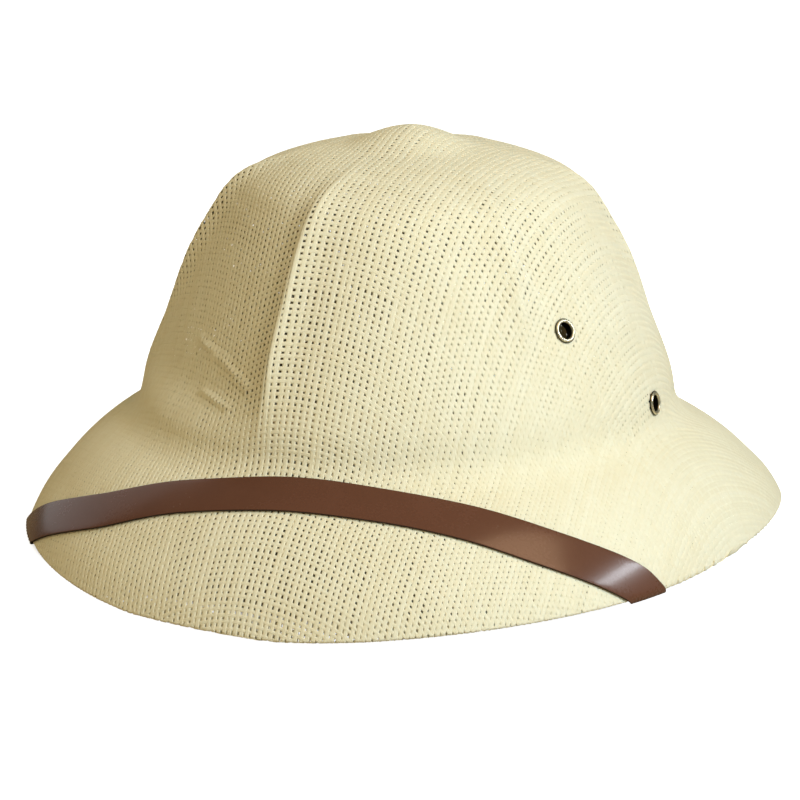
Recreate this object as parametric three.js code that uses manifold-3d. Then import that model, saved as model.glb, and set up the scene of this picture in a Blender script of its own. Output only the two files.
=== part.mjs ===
import * as THREE from 'three';
import { mergeVertices } from 'three/addons/utils/BufferGeometryUtils.js';
import Module from 'manifold-3d';

// Straw sun helmet: crown and brim pressed in one piece from plain-woven straw, a leather
// band laid across the front of the brim, and four brass vent eyelets in the crown.
// Millimetres, +Z up. The front of the hat faces -Y and the wearer's left is +X.
// An azimuth is counted in degrees from the front towards the wearer's left.

const wall = 2.0;
const gap = 0.4;

const brim = {
  halfWidth: 135,
  frontReach: 138,
  rearReach: 162.5,
  roundness: 2.22,
  rimFlat: 0.5,
  rimRise: 0.7,
};

// Height of the brim's edge: it dips to the table at front and back and lifts at the sides.
const edge = { sideLift: 12.4, quarterLift: 3.7, rearQuarterLift: 5.1, restDip: 1.0 };

// How much the brim's slope steepens from the crown to the edge.
const steepening = { front: 0.43, side: 0.48, rear: 0.3 };

const crown = {
  halfLength: 105,
  halfWidth: 100.5,
  setBack: 5.5,
  creaseHeight: 51,
  creaseSway: 2.0,
  height: 104,
  meridianLength: 172,
};

// Soft turn between crown and brim, as shares of the crown's and of the brim's meridian.
const crease = { onCrown: 0.07, onBrim: 0.2 };

// Crown meridian from the top to the crease, as shares of its base radius and height.
const crownProfile = [
  { reach: 0.0, rise: 1.029 },
  { reach: 0.22, rise: 0.972 },
  { reach: 0.45, rise: 0.923 },
  { reach: 0.63, rise: 0.838 },
  { reach: 0.739, rise: 0.68 },
  { reach: 0.83, rise: 0.5 },
  { reach: 0.912, rise: 0.32 },
  { reach: 0.977, rise: 0.15 },
  { reach: 1.0, rise: 0.0 },
];

const button = { height: 1.5, flatRadius: 4, radius: 26.5 };

// Six pinched ribs run down from the top; each fades out over a range of heights.
const ridge = { height: 3.6, halfWidth: 12, crestSoftness: 0.06, topStart: 26, topFull: 96 };
const ridges = [
  { azimuth: 0, endsAt: 0.06, fullFrom: 0.3 },
  { azimuth: 60, endsAt: 0.3, fullFrom: 0.6 },
  { azimuth: 120, endsAt: 0.3, fullFrom: 0.6 },
  { azimuth: 180, endsAt: 0.06, fullFrom: 0.3 },
  { azimuth: 240, endsAt: 0.3, fullFrom: 0.6 },
  { azimuth: 300, endsAt: 0.3, fullFrom: 0.6 },
];

// The panel beside the front rib is pressed part of the way from round to flat.
const flatPanel = {
  azimuth: -30,
  halfTurn: 30,
  share: 0.55,
  footStart: 0.03,
  footFull: 0.25,
  topFull: 0.8,
  topEnd: 0.97,
};

// Slanting press wrinkles beside the front rib: azimuths, and shares down the meridian.
const wrinkle = { height: 1.3, halfWidth: 8 };
const wrinkles = [
  { azimuth: -31, down: 0.716, toAzimuth: -17, toDown: 0.74 },
  { azimuth: -17, down: 0.74, toAzimuth: -6, toDown: 0.787 },
  { azimuth: -22, down: 0.82, toAzimuth: -11, toDown: 0.84 },
];

// Columns of the shell's net around each rib, and the extra ones that carry the wrinkles.
const columnsPerRidge = [-22, -14, -8, -4, -1.5, 0, 1.5, 4, 8, 14, 22, 30];
const wrinkleColumns = [-34, -26, -18, -11];

// Rings of the net: shares down the crown, round the turn at the crease, across the brim.
// The rings that carry the wrinkles are on the outside only.
const crownRings = [0.05, 0.09, 0.13, 0.2, 0.28, 0.37, 0.46, 0.55, 0.64, 0.72, 0.8, 0.87, 0.93];
const wrinkleRings = [0.67, 0.695, 0.745, 0.77];
const creaseRings = [0.2, 0.4, 0.6, 0.8];
const brimRings = [0.2, 0.36, 0.52, 0.67, 0.8, 0.92, 1.0];

// Leather band: its middle line in azimuth and in shares of the brim from crease to edge.
// Past the edge the line turns loosely round the rim and runs back up under the brim.
const band = { width: 14.6, thickness: 1.4, columns: 6, rimTurn: 0.07, rimSlack: 0.5 };
const bandLine = [
  { azimuth: -58, across: 1.34, steps: 4 },
  { azimuth: -54, across: 1.17, steps: 10 },
  { azimuth: -48.5, across: 1.0, steps: 6 },
  { azimuth: -40, across: 0.86, steps: 7 },
  { azimuth: -28, across: 0.65, steps: 7 },
  { azimuth: -12, across: 0.35, steps: 7 },
  { azimuth: 8, across: 0.18, steps: 7 },
  { azimuth: 26, across: 0.22, steps: 7 },
  { azimuth: 42, across: 0.41, steps: 7 },
  { azimuth: 57, across: 0.69, steps: 6 },
  { azimuth: 69.5, across: 0.96, steps: 10 },
  { azimuth: 73, across: 1.11, steps: 4 },
  { azimuth: 76, across: 1.32, steps: 0 },
];

// Vent eyelets: a barrel through the straw, rolled outside and splayed inside.
const eyelet = {
  flangeRadius: 4.8,
  barrelRadius: 3.6,
  boreRadius: 3.1,
  flangeHeight: 0.9,
  sides: 14,
};
const eyelets = [
  { name: 'eyelet_left_front', azimuth: 71.5, down: 0.673 },
  { name: 'eyelet_left_rear', azimuth: 97.5, down: 0.91 },
  { name: 'eyelet_right_front', azimuth: -71.5, down: 0.673 },
  { name: 'eyelet_right_rear', azimuth: -97.5, down: 0.91 },
];

const { degToRad, lerp, smoothstep, clamp } = THREE.MathUtils;

// The crown's axis stands forward of the middle of the hat's length.
const axisY = (brim.frontReach - brim.rearReach) / 2;
const crownCurve = new THREE.SplineCurve(
  crownProfile.map(({ reach, rise }) => new THREE.Vector2(reach, rise)),
);

// Reach of a rounded outline at an azimuth, from its reaches to the front, rear and side.
function outlineReach(azimuth, front, rear, side, roundness) {
  const ahead = Math.cos(degToRad(azimuth));
  const aside = Math.sin(degToRad(azimuth));
  const along = Math.abs(ahead / (ahead > 0 ? front : rear));
  const across = Math.abs(aside / side);
  return (along ** roundness + across ** roundness) ** (-1 / roundness);
}

function crownReach(azimuth) {
  return outlineReach(azimuth, crown.halfLength, crown.halfLength, crown.halfWidth, 2);
}

function brimReach(azimuth) {
  const { frontReach, rearReach, halfWidth, roundness } = brim;
  return outlineReach(azimuth, frontReach, rearReach, halfWidth, roundness);
}

function creaseHeight(azimuth) {
  return crown.creaseHeight - crown.creaseSway * Math.cos(2 * degToRad(azimuth));
}

function edgeHeight(azimuth) {
  const turn = degToRad(azimuth);
  const side = edge.sideLift * (1 - Math.cos(2 * turn)) / 2;
  const quarter = edge.quarterLift * (1 - Math.cos(4 * turn)) / 2;
  const rear = edge.rearQuarterLift * Math.cos(turn) * Math.sin(turn) ** 2;
  return Math.max(0, side + quarter - rear - edge.restDip);
}

function polarPoint(azimuth, reach, height, setBack) {
  const turn = degToRad(azimuth);
  return new THREE.Vector3(reach * Math.sin(turn), axisY + setBack - reach * Math.cos(turn), height);
}

// Pinched rib: a crest with hollow flanks that run out into the panels.
function ridgeLift(azimuth, reach, rise) {
  let lift = 0;
  for (const { azimuth: line, endsAt, fullFrom } of ridges) {
    const turn = degToRad(azimuth - line);
    const away = Math.atan2(Math.sin(turn), Math.cos(turn)) * reach / ridge.halfWidth;
    const flank = Math.max(0, 1 - Math.hypot(away, ridge.crestSoftness)) ** 2;
    const fade = smoothstep(rise, endsAt, fullFrom) * smoothstep(reach, ridge.topStart, ridge.topFull);
    lift = Math.max(lift, ridge.height * flank * fade);
  }
  return lift;
}

function panelLift(azimuth, reach, rise) {
  const { footStart, footFull, topFull, topEnd, share } = flatPanel;
  const turn = degToRad(azimuth - flatPanel.azimuth);
  const half = degToRad(flatPanel.halfTurn);
  const away = Math.min(half, Math.abs(Math.atan2(Math.sin(turn), Math.cos(turn))));
  const fade = smoothstep(rise, footStart, footFull) * (1 - smoothstep(rise, topFull, topEnd));
  return share * reach * (Math.cos(half) / Math.cos(away) - 1) * fade;
}

function unrolled(azimuth, down, reach) {
  return new THREE.Vector3(degToRad(azimuth) * reach, down * crown.meridianLength, 0);
}

function wrinkleLift(azimuth, down, reach) {
  const here = unrolled(azimuth, down, reach);
  const nearest = new THREE.Vector3();
  let lift = 0;
  for (const fold of wrinkles) {
    const start = unrolled(fold.azimuth, fold.down, reach);
    const end = unrolled(fold.toAzimuth, fold.toDown, reach);
    new THREE.Line3(start, end).closestPointToPoint(here, true, nearest);
    const away = Math.min(1, nearest.distanceTo(here) / wrinkle.halfWidth);
    lift = Math.max(lift, wrinkle.height * (1 - away ** 2) ** 2);
  }
  return lift;
}

function buttonLift(reach) {
  return button.height * (1 - smoothstep(reach, button.flatRadius, button.radius));
}

// Outside of the crown; down runs from 0 at the top to 1 at the crease.
function crownPoint(azimuth, down) {
  const base = crownReach(azimuth);
  const foot = creaseHeight(azimuth);
  const tall = crown.creaseHeight + crown.height - foot;
  const at = crownCurve.getPoint(down);
  const run = crownCurve.getTangent(down);
  const outward = new THREE.Vector2(-run.y * tall, run.x * base).normalize();
  const reach = base * at.x;
  const lift = ridgeLift(azimuth, reach, at.y) + wrinkleLift(azimuth, down, reach)
    + panelLift(azimuth, reach, at.y);
  const height = foot + tall * at.y + outward.y * lift + buttonLift(reach);
  return polarPoint(azimuth, reach + outward.x * lift, height, crown.setBack);
}

// Outside of the brim; across runs from 0 at the crease to 1 at the edge.
function brimPoint(azimuth, across) {
  const ahead = Math.cos(degToRad(azimuth));
  const lengthwise = ahead > 0 ? steepening.front : steepening.rear;
  const steeper = lerp(steepening.side, lengthwise, ahead ** 2);
  const fall = lerp(across, across ** 3, steeper);
  const reach = lerp(crownReach(azimuth), brimReach(azimuth), across);
  const height = lerp(creaseHeight(azimuth), edgeHeight(azimuth) + brim.rimRise, fall);
  return polarPoint(azimuth, reach, height, crown.setBack * (1 - across));
}

// Whole outside: 0 at the top, 1 at the crease, 2 at the edge of the brim.
function sharpPoint(azimuth, station) {
  if (station <= 1) {
    return crownPoint(azimuth, station);
  }
  return brimPoint(azimuth, station - 1);
}

function outerPoint(azimuth, station) {
  const start = 1 - crease.onCrown;
  const end = 1 + crease.onBrim;
  if (station <= start || station >= end) {
    return sharpPoint(azimuth, station);
  }
  const turn = new THREE.QuadraticBezierCurve3(
    sharpPoint(azimuth, start),
    sharpPoint(azimuth, 1),
    sharpPoint(azimuth, end),
  );
  return turn.getPoint((station - start) / (end - start));
}

function outerNormal(azimuth, station) {
  const side = 0.5;
  const step = 0.004;
  const above = outerPoint(azimuth, clamp(station - step, 0, 2));
  const below = outerPoint(azimuth, clamp(station + step, 0, 2));
  const ahead = outerPoint(azimuth + side, station);
  const behind = outerPoint(azimuth - side, station);
  return below.sub(above).cross(ahead.sub(behind)).normalize();
}

// Inside of the edge, level with its outside, so that the rim's foot is flat.
function rimInside(azimuth) {
  const outside = outerPoint(azimuth, 2);
  const outward = outerNormal(azimuth, 2).setZ(0);
  return outside.addScaledVector(outward, -wall / outward.lengthSq());
}

function innerPoint(azimuth, station) {
  if (station === 2) {
    return rimInside(azimuth);
  }
  return outerPoint(azimuth, station).addScaledVector(outerNormal(azimuth, station), -wall);
}

function rimFoot(azimuth, share) {
  const foot = outerPoint(azimuth, 2).lerp(rimInside(azimuth), share);
  return foot.setZ(edgeHeight(azimuth));
}

// Closed skin over rings of points from one pole, round the rim, to the other pole.
function ringSkin(first, rings, last) {
  const columns = rings[0].length;
  const points = [first, ...rings.flat(), last];
  const faces = [];
  const at = (ring, column) => 1 + ring * columns + (column % columns);
  for (let column = 0; column < columns; column += 1) {
    faces.push(0, at(0, column), at(0, column + 1));
    for (let ring = 0; ring + 1 < rings.length; ring += 1) {
      const corner = at(ring, column);
      const beside = at(ring, column + 1);
      const below = at(ring + 1, column);
      const opposite = at(ring + 1, column + 1);
      faces.push(corner, below, opposite, corner, opposite, beside);
    }
    faces.push(points.length - 1, at(rings.length - 1, column + 1), at(rings.length - 1, column));
  }
  const skin = new THREE.BufferGeometry().setFromPoints(points);
  skin.setIndex(faces);
  return skin;
}

function shellGeometry() {
  const ribbed = ridges.flatMap((rib) => columnsPerRidge.map((offset) => rib.azimuth + offset));
  const extra = wrinkleColumns.map((azimuth) => azimuth + 360);
  const crossing = ribbed.filter((azimuth) => !extra.some((other) => Math.abs(azimuth - other) < 1));
  const azimuths = [...crossing, ...extra].sort((a, b) => a - b);
  const turnStart = 1 - crease.onCrown;
  const turnEnd = 1 + crease.onBrim;
  const turn = creaseRings.map((share) => lerp(turnStart, turnEnd, share));
  const outerCrown = [...crownRings, ...wrinkleRings].sort((a, b) => a - b);
  const onBrim = brimRings.map((across) => 1 + across);
  const outer = [...outerCrown, ...turn, ...onBrim];
  const inner = [...crownRings, ...turn, ...onBrim];
  const outside = outer.map((station) => azimuths.map((azimuth) => outerPoint(azimuth, station)));
  const footShares = [brim.rimFlat / wall, 1 - brim.rimFlat / wall];
  const foot = footShares.map((share) => azimuths.map((azimuth) => rimFoot(azimuth, share)));
  const inside = inner.map((station) => azimuths.map((azimuth) => innerPoint(azimuth, station)));
  const top = outerPoint(0, 0);
  const under = top.clone().setZ(top.z - wall);
  return ringSkin(top, [...outside, ...foot, ...inside.reverse()], under);
}

// Point at a height above the straw, carried over the brim, round its rim and up inside.
function wrapPoint(azimuth, across, clearance) {
  const height = clearance + band.rimSlack * rimNearness(across, 1, 3);
  if (across <= 1) {
    const onCrown = across * brimReach(azimuth) / crown.meridianLength;
    const station = across < 0 ? 1 + onCrown : 1 + across;
    return outerPoint(azimuth, station).addScaledVector(outerNormal(azimuth, station), height);
  }
  if (across >= 1 + band.rimTurn) {
    const station = 3 + band.rimTurn - across;
    const outward = outerNormal(azimuth, station);
    return outerPoint(azimuth, station).addScaledVector(outward, -wall - height);
  }
  const share = (across - 1) / band.rimTurn;
  const outward = outerNormal(azimuth, 2);
  const aside = outerPoint(azimuth, 2).sub(outerPoint(azimuth + 0.5, 2));
  const turned = outward.applyAxisAngle(aside.normalize(), -Math.PI * share);
  const inside = outerPoint(azimuth, 2).addScaledVector(outerNormal(azimuth, 2), -wall);
  const rim = outerPoint(azimuth, 2).lerp(inside, share);
  rim.z -= brim.rimRise * Math.sin(Math.PI * share);
  return rim.addScaledVector(turned, height);
}

// How near a place on the band's line is to the turn round the rim: 1 on it, 0 well away.
function rimNearness(across, start, end) {
  const fromRim = Math.abs(across - 1 - band.rimTurn / 2) / band.rimTurn;
  return 1 - smoothstep(fromRim, start, end);
}

// One cross-section of the band: places across its width, at right angles to its line
// on the brim and along the edge where the band bends round the rim.
function bandStation(line, place) {
  const step = 0.02;
  const here = line.getPoint(place);
  const next = line.getPoint(Math.min(1, place + step / line.points.length));
  const last = line.getPoint(Math.max(0, place - step / line.points.length));
  const spot = wrapPoint(here.x, here.y, gap);
  const perAzimuth = wrapPoint(here.x + step, here.y, gap).sub(spot).divideScalar(step);
  const perAcross = wrapPoint(here.x, here.y + step, gap).sub(wrapPoint(here.x, here.y - step, gap));
  perAcross.divideScalar(2 * step);
  const turnLength = perAzimuth.length();
  const reachLength = perAcross.length();
  const skew = perAzimuth.dot(perAcross) / (turnLength * reachLength);
  const along = new THREE.Vector2((next.x - last.x) * turnLength, (next.y - last.y) * reachLength);
  along.x += along.y * skew;
  along.normalize();
  const slant = rimNearness(here.y, 1.5, 3.5);
  const places = [];
  for (let column = 0; column < band.columns; column += 1) {
    const out = band.width * (column / (band.columns - 1) - 0.5);
    const slide = slant * out * along.x / along.y;
    const azimuth = here.x - (out * along.y + slide * along.x) / turnLength;
    const across = here.y + (out * along.x - slide * along.y) / reachLength;
    places.push({ azimuth, across });
  }
  return places;
}

function middleOf(points) {
  const sum = new THREE.Vector3();
  points.forEach((point) => sum.add(point));
  return sum.divideScalar(points.length);
}

function bandGeometry() {
  const line = new THREE.SplineCurve(bandLine.map((row) => new THREE.Vector2(row.azimuth, row.across)));
  const spans = bandLine.length - 1;
  const sections = [];
  bandLine.slice(0, -1).forEach(({ steps }, span) => {
    for (let step = 0; step < steps; step += 1) {
      sections.push(bandStation(line, (span + step / steps) / spans));
    }
  });
  sections.push(bandStation(line, 1));
  const loops = sections.map((places) => {
    const under = places.map((at) => wrapPoint(at.azimuth, at.across, gap));
    const upper = places.map((at) => wrapPoint(at.azimuth, at.across, gap + band.thickness));
    return [...under, ...upper.reverse()];
  });
  return ringSkin(middleOf(loops[0]), loops, middleOf(loops[loops.length - 1]));
}

// Lathe section of an eyelet, closed on itself, with the straw's outside at height 0.
function eyeletGeometry() {
  const { flangeRadius, barrelRadius, boreRadius, flangeHeight } = eyelet;
  const top = gap + flangeHeight;
  const foot = -wall - 2 * gap;
  const splayed = lerp(barrelRadius, flangeRadius, 0.6);
  const section = [
    [boreRadius, foot - flangeHeight],
    [splayed, foot - flangeHeight],
    [splayed, foot],
    [barrelRadius, foot],
    [barrelRadius, gap],
    [flangeRadius, gap],
    [lerp(barrelRadius, flangeRadius, 0.75), top],
    [lerp(boreRadius, flangeRadius, 0.3), top],
    [boreRadius, gap],
    [boreRadius, foot - flangeHeight],
  ];
  const points = section.map(([reach, height]) => new THREE.Vector2(reach, height));
  const ring = new THREE.LatheGeometry(points, eyelet.sides);
  ring.rotateX(Math.PI / 2);
  return ring;
}

const wasm = await Module();
wasm.setup();

function toSolid(geometry) {
  const bare = geometry.clone();
  bare.deleteAttribute('normal');
  bare.deleteAttribute('uv');
  const merged = mergeVertices(bare);
  return new wasm.Manifold(new wasm.Mesh({
    numProp: 3,
    vertProperties: merged.attributes.position.array,
    triVerts: new Uint32Array(merged.index.array),
  }));
}

function toGeometry(solid) {
  const mesh = solid.getMesh();
  const geometry = new THREE.BufferGeometry();
  geometry.setAttribute('position', new THREE.BufferAttribute(mesh.vertProperties, 3));
  geometry.setIndex(new THREE.BufferAttribute(mesh.triVerts, 1));
  geometry.computeVertexNormals();
  return geometry;
}

// Stands a piece made along +Z on the straw, with its foot on the outside of the crown.
function seat(object, azimuth, down) {
  const upright = new THREE.Vector3(0, 0, 1);
  object.position.copy(outerPoint(azimuth, down));
  object.quaternion.setFromUnitVectors(upright, outerNormal(azimuth, down));
  object.updateMatrix();
  return object;
}

const straw = new THREE.MeshStandardMaterial({ color: 0xe9dfb6, roughness: 0.82, metalness: 0 });
const leather = new THREE.MeshStandardMaterial({ color: 0x5f3f31, roughness: 0.42, metalness: 0 });
const brass = new THREE.MeshStandardMaterial({ color: 0x8c7a4c, roughness: 0.4, metalness: 0.85 });

function ventedShell() {
  const drill = new THREE.CylinderGeometry(
    eyelet.barrelRadius + gap,
    eyelet.barrelRadius + gap,
    4 * wall,
    eyelet.sides,
  );
  drill.rotateX(Math.PI / 2);
  let solid = toSolid(shellGeometry());
  for (const { azimuth, down } of eyelets) {
    const placed = seat(new THREE.Mesh(drill), azimuth, down);
    solid = solid.subtract(toSolid(drill.clone().applyMatrix4(placed.matrix)));
  }
  return toGeometry(solid);
}

const hat = new THREE.Group();

const shell = new THREE.Mesh(ventedShell(), straw);
shell.name = 'straw_shell';
hat.add(shell);

const strap = new THREE.Mesh(bandGeometry(), leather);
strap.name = 'front_band';
hat.add(strap);

for (const { name, azimuth, down } of eyelets) {
  const vent = seat(new THREE.Mesh(eyeletGeometry(), brass), azimuth, down);
  vent.name = name;
  hat.add(vent);
}

export default hat;
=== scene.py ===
# %% [markdown]
# # A straw sun helmet
# The hat is woven from flat straw yarns and pressed over a form, so crown and brim are one
# piece of cloth. A leather band crosses the front of the brim, and four brass eyelets let
# air into the crown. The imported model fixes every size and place; this lesson dresses it.

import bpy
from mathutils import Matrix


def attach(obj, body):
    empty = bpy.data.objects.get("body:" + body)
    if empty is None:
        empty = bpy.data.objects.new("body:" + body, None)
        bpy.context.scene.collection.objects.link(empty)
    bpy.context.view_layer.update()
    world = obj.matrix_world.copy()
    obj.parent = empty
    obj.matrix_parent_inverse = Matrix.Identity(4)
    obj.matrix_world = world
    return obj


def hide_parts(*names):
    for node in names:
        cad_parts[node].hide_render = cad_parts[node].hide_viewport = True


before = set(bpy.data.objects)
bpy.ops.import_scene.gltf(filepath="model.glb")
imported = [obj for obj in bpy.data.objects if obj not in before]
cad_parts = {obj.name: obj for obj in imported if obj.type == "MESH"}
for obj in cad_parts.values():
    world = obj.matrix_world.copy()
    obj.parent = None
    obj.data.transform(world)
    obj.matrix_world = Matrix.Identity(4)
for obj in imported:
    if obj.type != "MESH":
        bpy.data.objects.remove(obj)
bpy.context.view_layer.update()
print("frame holds", sorted(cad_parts))

# %% [markdown]
# ## The pressed form
# The real hat takes its shape from a wooden block. Here the block is a formula: a place on
# the outside is an azimuth in degrees, counted from the front towards the wearer's left,
# and a station, which is 0 at the top, 1 at the crease and 2 at the edge of the brim. A
# sculpted mesh could stand in for it, but a formula can be asked for any point and its
# normal, which is what thousands of yarn crossings need. One panel of the crown has been
# pushed flatter and carries two small folds. Sizes are millimetres until a mesh is made.
# They are nearly the driving sizes of the solid model: here the brim also rolls over a little
# at its edge, two ribs fade out higher up and the folds are finer, as pressed straw has them.

# %% Driving sizes of the form
import math

import bpy
import numpy as np
from mathutils import Quaternion, Vector

MM = 0.001
TINY = 1e-9

BRIM = dict(half_width=135, front=138, rear=162.5, roundness=2.22, rim_rise=0.7)
ROLL = dict(starts=0.68, height=1.2, peak_scale=6.75)
EDGE = dict(side=12.4, quarter=3.7, rear_quarter=5.1, rest_dip=1.0)
STEEPER = dict(front=0.43, side=0.48, rear=0.3)
CROWN = dict(half_length=105, half_width=100.5, set_back=5.5, height=104, meridian=172)
CREASE = dict(height=51, sway=2.0, on_crown=0.07, on_brim=0.2)
BUTTON = dict(height=2.6, flat=7, radius=26.5)
RIB = dict(height=3.6, half_width=12, softness=0.11, top_start=26, top_full=96)
PANEL = dict(azimuth=-30, half_turn=30, share=0.55, foot=(0.03, 0.25), top=(0.8, 0.97))
FOLD = dict(height=1.1, half_width=3.4)
AXIS_Y = (BRIM["front"] - BRIM["rear"]) / 2

# Crown meridian, top to crease: shares of the base radius and of the height.
CROWN_REACH = np.array([0.0, 0.22, 0.45, 0.63, 0.739, 0.83, 0.912, 0.977, 1.0])
CROWN_RISE = np.array([1.018, 0.972, 0.923, 0.838, 0.68, 0.5, 0.32, 0.15, 0.0])

# Pinched ribs: azimuth, the rise where each runs out and the rise where it is full.
RIBS = [
    dict(azimuth=azimuth, ends=0.12, full=0.4) if azimuth % 180 == 0
    else dict(azimuth=azimuth, ends=0.3, full=0.6)
    for azimuth in range(0, 360, 60)
]

# Two slanting press folds beside the front rib, the upper one in two pieces: azimuths, and
# shares down the meridian.
FOLDS = [
    dict(start=(-31, 0.716), end=(-17, 0.74)),
    dict(start=(-17, 0.74), end=(-6, 0.787)),
    dict(start=(-22, 0.82), end=(-11, 0.84)),
]
print("brim", 2 * BRIM["half_width"], "mm wide,", len(RIBS), "ribs,", len(FOLDS), "pieces of fold")


# %% Outlines and heights of the form
def smoothstep(value, low, high):
    share = np.clip((value - low) / (high - low), 0, 1)
    return share * share * (3 - 2 * share)


def through(knots, place):
    """Smooth curve through evenly spaced knots; place counts knots from 0."""
    last = len(knots) - 1
    index = np.clip(np.floor(place).astype(int), 0, last - 1)
    share = np.clip(place - index, 0, 1)
    before, here = knots[np.maximum(index - 1, 0)], knots[index]
    after, beyond = knots[index + 1], knots[np.minimum(index + 2, last)]
    leave, arrive = (after - before) / 2, (beyond - here) / 2
    cubic = 2 * here - 2 * after + leave + arrive
    square = -3 * here + 3 * after - 2 * leave - arrive
    return ((cubic * share + square) * share + leave) * share + here


def slope(knots, place, near):
    """Change of that curve from just before a place to just after it."""
    return through(knots, place + near) - through(knots, place - near)


def outline_reach(turn, front, rear, side, roundness):
    ahead = np.cos(turn)
    along = np.abs(ahead / np.where(ahead > 0, front, rear))
    across = np.abs(np.sin(turn) / side)
    return (along**roundness + across**roundness) ** (-1 / roundness)


def crown_reach(turn):
    return outline_reach(turn, CROWN["half_length"], CROWN["half_length"], CROWN["half_width"], 2)


def brim_reach(turn):
    return outline_reach(turn, BRIM["front"], BRIM["rear"], BRIM["half_width"], BRIM["roundness"])


def crease_height(turn):
    return CREASE["height"] - CREASE["sway"] * np.cos(2 * turn)


def edge_height(turn):
    side = EDGE["side"] * (1 - np.cos(2 * turn)) / 2
    quarter = EDGE["quarter"] * (1 - np.cos(4 * turn)) / 2
    rear = EDGE["rear_quarter"] * np.cos(turn) * np.sin(turn) ** 2
    return np.maximum(0, side + quarter - rear - EDGE["rest_dip"])


def polar(turn, reach, height, set_back):
    y = AXIS_Y + set_back - reach * np.cos(turn)
    return np.stack([reach * np.sin(turn), y, height], axis=-1)


edge_at = np.round(edge_height(np.radians([0, 90, 180])), 1)
print("edge of the brim", edge_at, "mm up at the front, side and back")


# %% Ribs, pressed panel and folds
def rib_lift(turn, reach, rise):
    lift = np.zeros_like(reach)
    for rib in RIBS:
        away = turn - math.radians(rib["azimuth"])
        away = np.arctan2(np.sin(away), np.cos(away)) * reach / RIB["half_width"]
        flank = np.maximum(0, 1 - np.hypot(away, RIB["softness"])) ** 2
        fade = smoothstep(rise, rib["ends"], rib["full"])
        fade = fade * smoothstep(reach, RIB["top_start"], RIB["top_full"])
        lift = np.maximum(lift, RIB["height"] * flank * fade)
    return lift


def panel_lift(turn, reach, rise):
    """The panel beside the front rib is pressed part of the way from round to flat."""
    away = turn - math.radians(PANEL["azimuth"])
    half = math.radians(PANEL["half_turn"])
    away = np.minimum(half, np.abs(np.arctan2(np.sin(away), np.cos(away))))
    fade = smoothstep(rise, *PANEL["foot"]) * (1 - smoothstep(rise, *PANEL["top"]))
    return PANEL["share"] * reach * (math.cos(half) / np.cos(away) - 1) * fade


def fold_lift(turn, down, reach):
    turn = np.arctan2(np.sin(turn), np.cos(turn))
    x, y = turn * reach, down * CROWN["meridian"]
    lift = np.zeros_like(reach)
    for fold in FOLDS:
        x0, y0 = math.radians(fold["start"][0]) * reach, fold["start"][1] * CROWN["meridian"]
        x1, y1 = math.radians(fold["end"][0]) * reach, fold["end"][1] * CROWN["meridian"]
        run_x, run_y = x1 - x0, y1 - y0
        share = np.clip(((x - x0) * run_x + (y - y0) * run_y) / (run_x**2 + run_y**2), 0, 1)
        away = np.hypot(x - x0 - share * run_x, y - y0 - share * run_y) / FOLD["half_width"]
        lift = np.maximum(lift, FOLD["height"] * np.maximum(0, 1 - away) ** 2)
    return lift


ridge = rib_lift(np.zeros(1), np.full(1, RIB["top_full"]), np.full(1, RIBS[0]["full"]))
print("the front rib stands", round(float(ridge[0]), 1), "mm proud")


# %% Crown, brim and the soft turn between them
def crown_point(turn, down):
    base, foot = crown_reach(turn), crease_height(turn)
    tall = CREASE["height"] + CROWN["height"] - foot
    place = np.clip(down, 0, 1) * (len(CROWN_REACH) - 1)
    near = 0.001
    reach, rise = through(CROWN_REACH, place), through(CROWN_RISE, place)
    run_out, run_up = slope(CROWN_REACH, place, near) * base, slope(CROWN_RISE, place, near) * tall
    length = np.maximum(np.hypot(run_out, run_up), TINY)
    reach = base * reach
    lift = rib_lift(turn, reach, rise) + fold_lift(turn, down, reach) + panel_lift(turn, reach, rise)
    button = BUTTON["height"] * (1 - smoothstep(reach, BUTTON["flat"], BUTTON["radius"]))
    height = foot + tall * rise + lift * run_out / length + button
    return polar(turn, reach - lift * run_up / length, height, CROWN["set_back"])


def roll_lift(across):
    """The brim swells a little just before its edge, most where the share is two thirds."""
    share = np.clip((across - ROLL["starts"]) / (1 - ROLL["starts"]), 0, 1)
    return ROLL["height"] * ROLL["peak_scale"] * share**2 * (1 - share)


def brim_point(turn, across):
    ahead = np.cos(turn)
    lengthwise = np.where(ahead > 0, STEEPER["front"], STEEPER["rear"])
    steeper = STEEPER["side"] + (lengthwise - STEEPER["side"]) * ahead**2
    fall = across + (across**3 - across) * steeper
    reach = crown_reach(turn) + (brim_reach(turn) - crown_reach(turn)) * across
    foot = edge_height(turn) + BRIM["rim_rise"]
    height = crease_height(turn) + (foot - crease_height(turn)) * fall + roll_lift(across)
    return polar(turn, reach, height, CROWN["set_back"] * (1 - across))


def outer_point(azimuth, station):
    """Points on the outside of the hat, with a soft turn where the crown meets the brim."""
    azimuth, station = np.broadcast_arrays(np.asarray(azimuth, float), np.asarray(station, float))
    turn = np.radians(azimuth)
    start, end = 1 - CREASE["on_crown"], 1 + CREASE["on_brim"]
    crown = crown_point(turn, np.minimum(station, 1))
    brim = brim_point(turn, np.maximum(station - 1, 0))
    share = np.clip((station - start) / (end - start), 0, 1)[..., None]
    above = crown_point(turn, np.full_like(station, start))
    corner = brim_point(turn, np.zeros_like(station))
    below = brim_point(turn, np.full_like(station, end - 1))
    soft = above * (1 - share) ** 2 + corner * 2 * share * (1 - share) + below * share**2
    beyond = (station <= start) | (station >= end)
    plain = np.where((station <= 1)[..., None], crown, brim)
    return np.where(beyond[..., None], plain, soft)


def unit(vectors):
    return vectors / np.maximum(np.linalg.norm(vectors, axis=-1, keepdims=True), TINY)


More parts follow.
